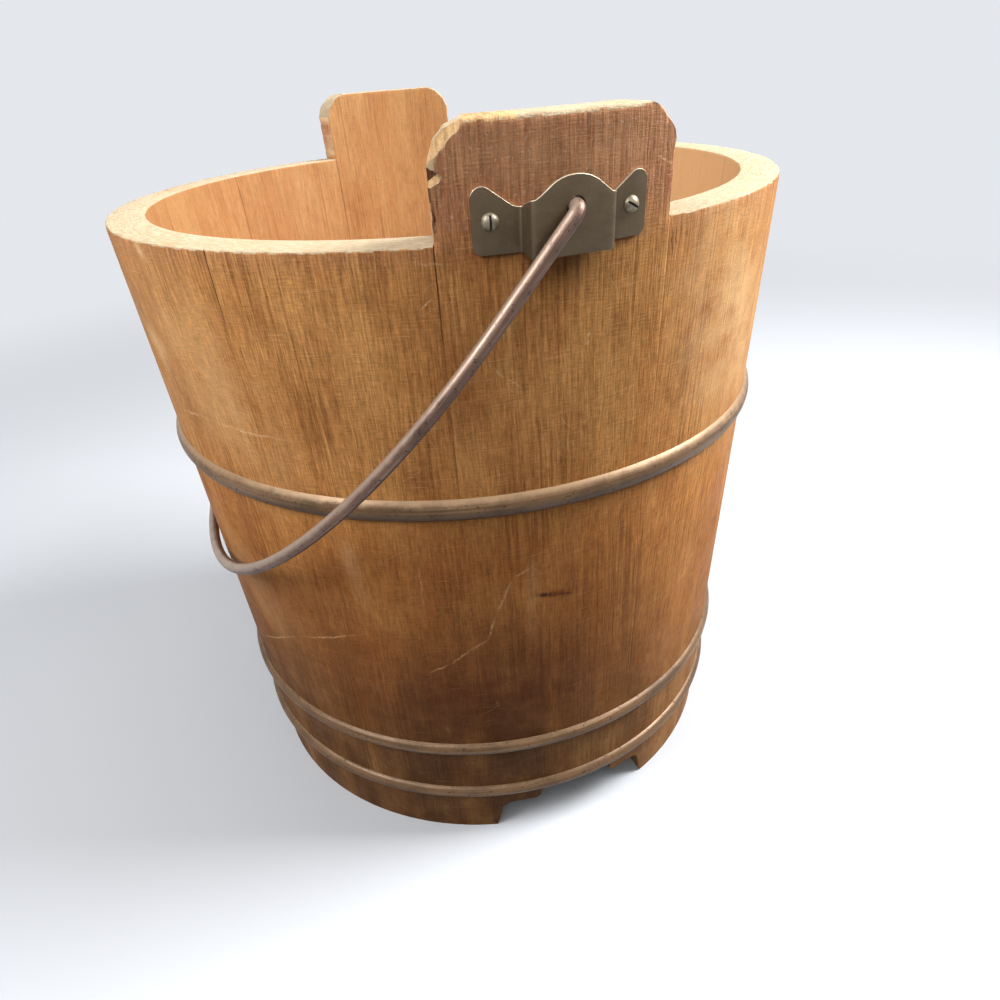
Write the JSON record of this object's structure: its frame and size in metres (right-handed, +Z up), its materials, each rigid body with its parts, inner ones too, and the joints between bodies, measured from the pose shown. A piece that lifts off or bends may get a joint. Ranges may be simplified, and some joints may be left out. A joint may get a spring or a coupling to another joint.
{
  "type": "wooden grain bucket",
  "caption": "Coopered wooden bucket with raised ears, metal hoops, scalloped foot cut-outs and a wire bail that swings over it on ear plates.",
  "frame": {"origin": "on the floor, on the bucket's axis, under the middle of its box", "axes": "+Z up along the bucket's axis, Y along the bail's pivot line from the front ear at -Y to the back ear at +Y, the bail hangs on the -X side"},
  "size_m": [0.292, 0.3244, 0.3232],
  "materials": {
    "stave_wood": "worn clear finish, fine vertical grain",
    "board_wood": "bare planed boards",
    "hoop_metal": "dull brushed bronze",
    "plate_metal": "satin antique brass",
    "screw_metal": "dull brass",
    "bail_wire": "copper-coloured wire, worn"
  },
  "bodies": {
    "bucket": {"ear_stave_front": "stave_wood", "ear_stave_back": "stave_wood", "stave_01": "stave_wood", "stave_02": "stave_wood", "stave_03": "stave_wood", "stave_04": "stave_wood", "stave_05": "stave_wood", "stave_06": "stave_wood", "stave_07": "stave_wood", "stave_08": "stave_wood", "stave_09": "stave_wood", "stave_10": "stave_wood", "bottom_board_left": "board_wood", "bottom_board_middle": "board_wood", "bottom_board_right": "board_wood", "hoop_middle": "hoop_metal", "hoop_lower": "hoop_metal", "hoop_foot": "hoop_metal", "ear_plate_front": "plate_metal", "ear_plate_back": "plate_metal", "ear_screws_front": "screw_metal", "ear_screws_back": "screw_metal"},
    "bail": {"bail": "bail_wire"}
  },
  "joints": [
    {"name": "bail_swing", "type": "hinge", "parent": "bucket", "child": "bail", "pos_m": [0, 0, 0.299], "axis": [0, 1, 0], "range_deg": [0, 277]}
  ]
}
